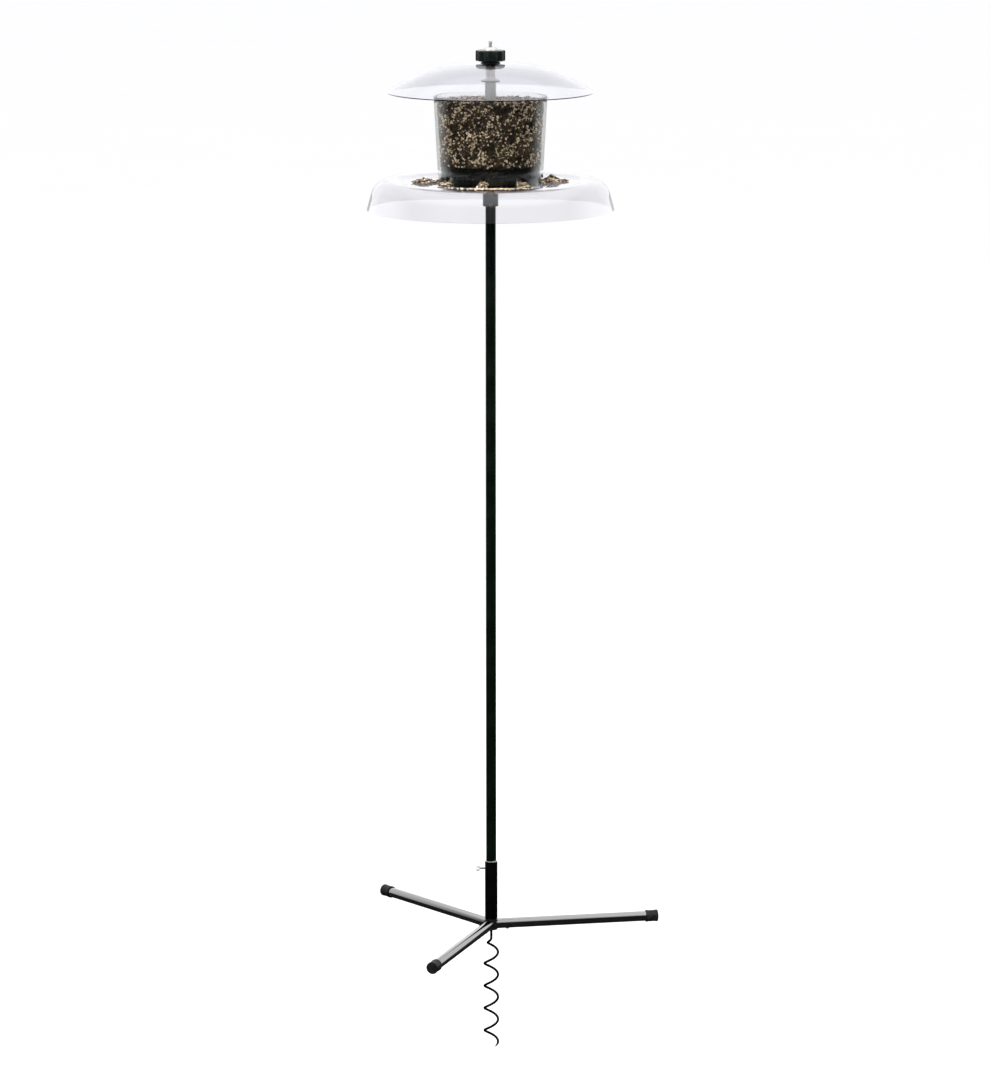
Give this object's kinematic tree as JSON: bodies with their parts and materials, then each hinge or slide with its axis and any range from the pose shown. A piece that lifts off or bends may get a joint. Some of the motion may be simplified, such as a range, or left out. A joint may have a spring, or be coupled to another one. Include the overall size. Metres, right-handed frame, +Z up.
{
  "type": "bird feeder on pole",
  "caption": "Clear domed bird feeder with a round skirted tray on a steel pole, held by a three-legged stand and a corkscrew ground auger.",
  "frame": {"origin": "where the pole's axis meets the ground that the leg caps rest on", "axes": "+Z up along the pole; +X to the right and -Y to the front, where the collar's set screw is; the thumb screw is on -X"},
  "size_m": [0.7329, 0.7519, 2.5557],
  "materials": {
    "black_coat": "gloss powder coat, black with a trace of green",
    "cap_rubber": "matt black rubber",
    "zinc_steel": "zinc plated",
    "clear_plastic": "clear, glossy, a trace of lavender grey",
    "black_plastic": "satin moulded",
    "seed_mix": "dry mixed bird seed",
    "grey_tube": "satin light grey",
    "turned_alloy": "turned, satin"
  },
  "bodies": {
    "stand": {"hub_spider": "black_coat", "pole_sleeve": "black_coat", "leg_front": "black_coat", "leg_right": "black_coat", "leg_left": "black_coat", "leg_cap_front": "cap_rubber", "leg_cap_right": "cap_rubber", "leg_cap_left": "cap_rubber", "leg_screws": "zinc_steel", "ground_auger": "black_coat", "auger_nut": "zinc_steel"},
    "thumb_screw": {"thumb_screw": "zinc_steel"},
    "pole": {"pole": "black_coat"},
    "feeder_head": {"tray_flange": "black_coat", "flange_bolts": "zinc_steel", "flange_nuts": "zinc_steel", "tray": "clear_plastic", "seed_ring": "black_plastic", "hopper": "clear_plastic", "seed_fill": "seed_mix", "tray_seed": "seed_mix", "center_tube": "grey_tube", "tube_washer": "cap_rubber", "dome_spacer": "turned_alloy", "dome_rod": "zinc_steel", "dome_seal": "cap_rubber"},
    "collar_set_screw": {"collar_set_screw": "zinc_steel"},
    "roof": {"dome_roof": "clear_plastic"},
    "knob_washer": {"dome_washer": "cap_rubber"},
    "knob": {"dome_knob": "black_plastic", "knob_insert": "turned_alloy"}
  },
  "joints": [
    {"name": "pole_height", "type": "slide", "parent": "stand", "child": "pole", "axis": [0, 0, 1], "range_m": [0, 0.1]},
    {"name": "thumb_screw_turn", "type": "hinge", "parent": "stand", "child": "thumb_screw", "pos_m": [-0.0276, 0, 0.161], "axis": [-1, 0, 0], "continuous": true},
    {"name": "head_swivel", "type": "hinge", "parent": "pole", "child": "feeder_head", "pos_m": [0, 0, 1.855], "axis": [0, 0, 1], "continuous": true},
    {"name": "set_screw_turn", "type": "hinge", "parent": "feeder_head", "child": "collar_set_screw", "pos_m": [0, -0.019, 1.852], "axis": [0, -1, 0], "continuous": true},
    {"name": "roof_lift", "type": "slide", "parent": "feeder_head", "child": "roof", "axis": [0, 0, 1], "range_m": [0, 0.3]},
    {"name": "washer_travel", "type": "slide", "parent": "roof", "child": "knob_washer", "axis": [0, 0, 1], "range_m": [0, 0.051]},
    {"name": "knob_turn", "type": "hinge", "parent": "knob_washer", "child": "knob", "pos_m": [0, 0, 2.215], "axis": [0, 0, 1], "range_deg": [0, 11520]}
  ],
  "couplings": [
    {"joint": "washer_travel", "follows": "knob_turn", "m_per_rad": 0.00025266}
  ]
}
